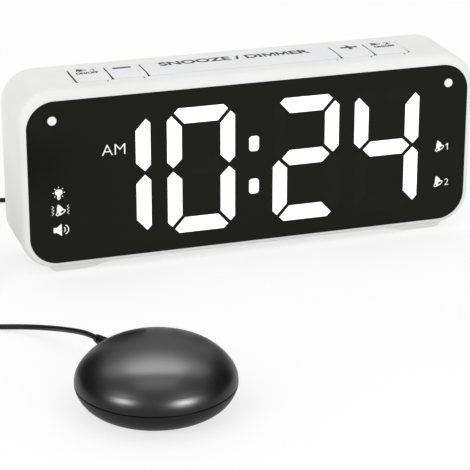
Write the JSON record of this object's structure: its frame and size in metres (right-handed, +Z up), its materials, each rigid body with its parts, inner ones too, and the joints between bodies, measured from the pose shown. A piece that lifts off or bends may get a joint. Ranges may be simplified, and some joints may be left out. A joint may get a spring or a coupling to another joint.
{
  "type": "bed shaker alarm clock",
  "caption": "Rounded digital table clock with a large segment display and a row of deck keys, joined by a thin coiled cord to a round puck that shakes to wake a sleeper.",
  "frame": {"origin": "on the floor, under the middle of the clock", "axes": "+X to the right along the clock's width, +Y to its back, +Z up"},
  "size_m": [0.238, 0.2444, 0.0759],
  "materials": {
    "white_shell": "satin moulded plastic",
    "white_keys": "satin moulded plastic",
    "white_feet": "satin moulded plastic",
    "black_face": "glossy smoked plastic",
    "light_guide": "clear diffusing plastic",
    "reflector": "matt white plastic",
    "circuit_board": "coated glass fibre",
    "chips": "moulded chip",
    "switches": "moulded plastic",
    "rear_buttons": "satin moulded plastic",
    "sliders": "moulded plastic",
    "sockets": "moulded plastic",
    "speaker_frame": "black stamped steel",
    "speaker_cone": "pressed paper",
    "magnet": "ferrite",
    "cell": "plain steel can",
    "clip": "spring steel strip",
    "battery_door": "satin moulded plastic",
    "screws": "zinc plated",
    "puck_shell": "satin moulded plastic",
    "puck_pad": "soft pad",
    "motor": "plated can",
    "cradle": "moulded plastic",
    "weight": "plain",
    "cord": "soft sleeve",
    "tie": "soft strap",
    "plug_metal": "plated"
  },
  "bodies": {
    "clock": {"front_housing": "white_shell", "rear_cover": "white_shell", "left_foot": "white_feet", "right_foot": "white_feet", "display_panel": "black_face", "hour_tens_digit": "light_guide", "hour_units_digit": "light_guide", "minute_tens_digit": "light_guide", "minute_units_digit": "light_guide", "colon_dots": "light_guide", "left_flash_lamp": "light_guide", "right_flash_lamp": "light_guide", "display_reflector": "reflector", "main_board": "circuit_board", "key_board": "circuit_board", "rear_board": "circuit_board", "led_chips": "chips", "key_switches": "switches", "set_switches": "switches", "slide_switches": "switches", "shaker_jack": "sockets", "power_inlet": "sockets", "speaker_frame": "speaker_frame", "speaker_cone": "speaker_cone", "speaker_magnet": "magnet", "coin_cell": "cell", "battery_clip": "clip", "cover_screws": "screws", "board_screws": "screws", "shaker_screws": "screws", "shaker_top_shell": "puck_shell", "shaker_base_shell": "puck_shell", "shaker_pad": "puck_pad", "shaker_motor": "motor", "motor_cradle": "cradle", "shaker_cord_run": "cord", "cord_coil": "cord", "clock_cord_run": "cord", "shaker_gland": "cord", "cord_plug": "cord", "cord_tie": "tie", "plug_tip": "plug_metal"},
    "alarm1_key_body": {"alarm1_key": "white_keys"},
    "minus_key_body": {"minus_key": "white_keys"},
    "snooze_key_body": {"snooze_key": "white_keys"},
    "plus_key_body": {"plus_key": "white_keys"},
    "alarm2_key_body": {"alarm2_key": "white_keys"},
    "time_set_button_body": {"time_set_button": "rear_buttons"},
    "alarm1_set_button_body": {"alarm1_set_button": "rear_buttons"},
    "alarm2_set_button_body": {"alarm2_set_button": "rear_buttons"},
    "volume_slider_body": {"volume_slider": "sliders"},
    "alert_mode_slider_body": {"alert_mode_slider": "sliders"},
    "battery_door_body": {"battery_door": "battery_door"},
    "rotor": {"motor_shaft": "motor", "eccentric_weight": "weight"}
  },
  "joints": [
    {"name": "alarm1_key_press", "type": "slide", "parent": "clock", "child": "alarm1_key_body", "axis": [0, 0, -1], "range_m": [0, 0.0006], "stiffness_N_per_m": 900, "springref_m": -0.0005},
    {"name": "minus_key_press", "type": "slide", "parent": "clock", "child": "minus_key_body", "axis": [0, 0, -1], "range_m": [0, 0.0006], "stiffness_N_per_m": 900, "springref_m": -0.0005},
    {"name": "snooze_key_press", "type": "slide", "parent": "clock", "child": "snooze_key_body", "axis": [0, 0, -1], "range_m": [0, 0.0006], "stiffness_N_per_m": 900, "springref_m": -0.0005},
    {"name": "plus_key_press", "type": "slide", "parent": "clock", "child": "plus_key_body", "axis": [0, 0, -1], "range_m": [0, 0.0006], "stiffness_N_per_m": 900, "springref_m": -0.0005},
    {"name": "alarm2_key_press", "type": "slide", "parent": "clock", "child": "alarm2_key_body", "axis": [0, 0, -1], "range_m": [0, 0.0006], "stiffness_N_per_m": 900, "springref_m": -0.0005},
    {"name": "time_set_button_press", "type": "slide", "parent": "clock", "child": "time_set_button_body", "axis": [0, -1, 0], "range_m": [0, 0.0006], "stiffness_N_per_m": 900, "springref_m": -0.0004},
    {"name": "alarm1_set_button_press", "type": "slide", "parent": "clock", "child": "alarm1_set_button_body", "axis": [0, -1, 0], "range_m": [0, 0.0006], "stiffness_N_per_m": 900, "springref_m": -0.0004},
    {"name": "alarm2_set_button_press", "type": "slide", "parent": "clock", "child": "alarm2_set_button_body", "axis": [0, -1, 0], "range_m": [0, 0.0006], "stiffness_N_per_m": 900, "springref_m": -0.0004},
    {"name": "volume_slider_move", "type": "slide", "parent": "clock", "child": "volume_slider_body", "axis": [1, 0, 0], "range_m": [-0.002, 0.002]},
    {"name": "alert_mode_slider_move", "type": "slide", "parent": "clock", "child": "alert_mode_slider_body", "axis": [1, 0, 0], "range_m": [-0.002, 0.002]},
    {"name": "battery_door_hinge", "type": "hinge", "parent": "clock", "child": "battery_door_body", "pos_m": [0.068, 0.0164, 0.0168], "axis": [-1, 0, 0], "range_deg": [0, 95]},
    {"name": "weight_spin", "type": "hinge", "parent": "clock", "child": "rotor", "pos_m": [-0.0691, -0.1418, 0.0102], "axis": [1, 0, 0], "continuous": true}
  ]
}
